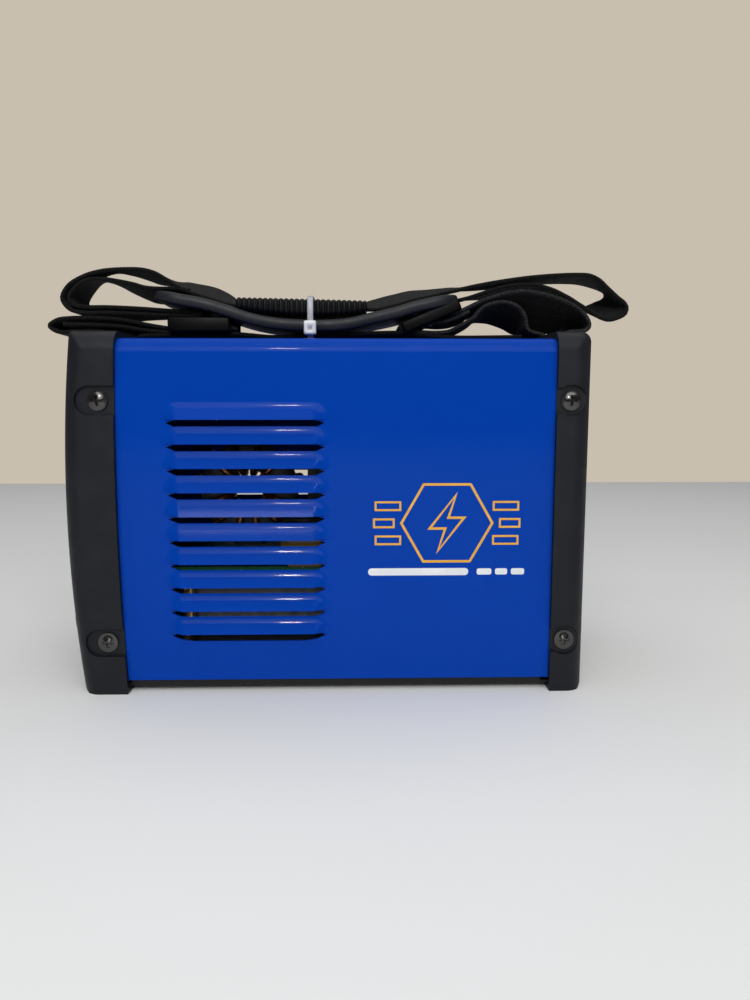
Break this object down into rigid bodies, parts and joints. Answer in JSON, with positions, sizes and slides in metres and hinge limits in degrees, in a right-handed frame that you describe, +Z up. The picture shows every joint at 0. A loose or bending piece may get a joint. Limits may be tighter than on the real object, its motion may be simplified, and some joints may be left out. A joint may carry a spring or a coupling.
{
  "type": "stick welding inverter",
  "caption": "Compact stick welding inverter: louvred steel cover between moulded end frames, front controls, rear fan, and a folded shoulder strap tied on top.",
  "frame": {"origin": "on the floor under the middle of the case, midway between the ends of the strap bundle", "axes": "+X from the front control panel towards the rear fan panel, +Z up, +Y completes a right-handed frame"},
  "size_m": [0.253, 0.1016, 0.1771],
  "materials": {
    "blue_paint": "gloss powder coat",
    "black_paint": "satin powder coat",
    "black_plastic": "fine moulded texture",
    "overlay_film": "satin printed film",
    "dark_zinc": "dark bright zinc",
    "smoked_window": "smoked acrylic",
    "display_plastic": "moulded",
    "green_lens": "clear tinted",
    "amber_lens": "clear tinted",
    "knob_plastic": "soft touch",
    "knob_cap": "gloss",
    "steel": "bright",
    "brass": "turned",
    "copper": "bright copper",
    "circuit_board": "solder mask",
    "insulation": "aramid paper",
    "aluminium": "extruded",
    "chip_plastic": "moulded epoxy",
    "capacitor_sleeve": "shrink sleeve",
    "ferrite": "sintered",
    "winding_tape": "polyester tape",
    "relay_plastic": "moulded",
    "fan_plastic": "moulded",
    "rocker_plastic": "gloss",
    "rubber": "matt",
    "webbing": "woven nylon",
    "pad_rubber": "smooth satin",
    "grip_rubber": "ribbed matt",
    "clear_nylon": "natural nylon",
    "slider_plastic": "moulded acetal"
  },
  "bodies": {
    "case": {"auxiliary_transformer": "winding_tape", "base_pan": "black_paint", "base_screws": "dark_zinc", "board_screws": "dark_zinc", "board_standoffs": "brass", "bridge_rectifier": "chip_plastic", "bulk_capacitors": "capacitor_sleeve", "busbars": "copper", "cable_tie": "clear_nylon", "choke_core": "ferrite", "choke_winding": "copper", "control_board": "circuit_board", "cover": "blue_paint", "display_module": "display_plastic", "display_window": "smoked_window", "earth_stud": "brass", "fan_frame": "fan_plastic", "fan_guard": "steel", "fan_screws": "dark_zinc", "fan_stator": "copper", "front_anchor_strap": "webbing", "front_bezel": "black_plastic", "front_heatsink": "aluminium", "front_overlay": "overlay_film", "front_panel": "black_paint", "gland_body": "black_plastic", "gland_locknut": "black_plastic", "gland_nut": "black_plastic", "gland_seal": "rubber", "grip_sleeve": "grip_rubber", "insulation_sheet": "insulation", "main_board": "circuit_board", "main_strap": "webbing", "output_diodes": "chip_plastic", "potentiometer_body": "steel", "power_lamp": "green_lens", "rear_anchor_strap": "webbing", "rear_bezel": "black_plastic", "rear_heatsink": "aluminium", "rear_panel": "black_paint", "shoulder_pad": "pad_rubber", "side_screws": "dark_zinc", "socket_bodies": "black_plastic", "socket_inserts": "brass", "socket_nuts": "black_plastic", "soft_start_relay": "relay_plastic", "strap_sliders": "slider_plastic", "switch_housing": "black_plastic", "switch_terminals": "brass", "switching_transistors": "chip_plastic", "transformer_core": "ferrite", "transformer_winding": "winding_tape", "warning_lamp": "amber_lens"},
    "knob": {"current_knob": "knob_plastic", "knob_cap": "knob_cap", "potentiometer_shaft": "steel"},
    "fan": {"fan_rotor": "fan_plastic", "fan_shaft": "steel"},
    "rocker": {"switch_rocker": "rocker_plastic"}
  },
  "joints": [
    {"name": "current_knob_turn", "type": "hinge", "parent": "case", "child": "knob", "pos_m": [-0.107, 0, 0.078], "axis": [-1, 0, 0], "range_deg": [0, 270]},
    {"name": "fan_spin", "type": "hinge", "parent": "case", "child": "fan", "pos_m": [0.0862, 0, 0.092], "axis": [1, 0, 0], "continuous": true},
    {"name": "power_switch_rock", "type": "hinge", "parent": "case", "child": "rocker", "pos_m": [0.0977, -0.024, 0.027], "axis": [0, 1, 0], "range_deg": [0, 20]}
  ]
}
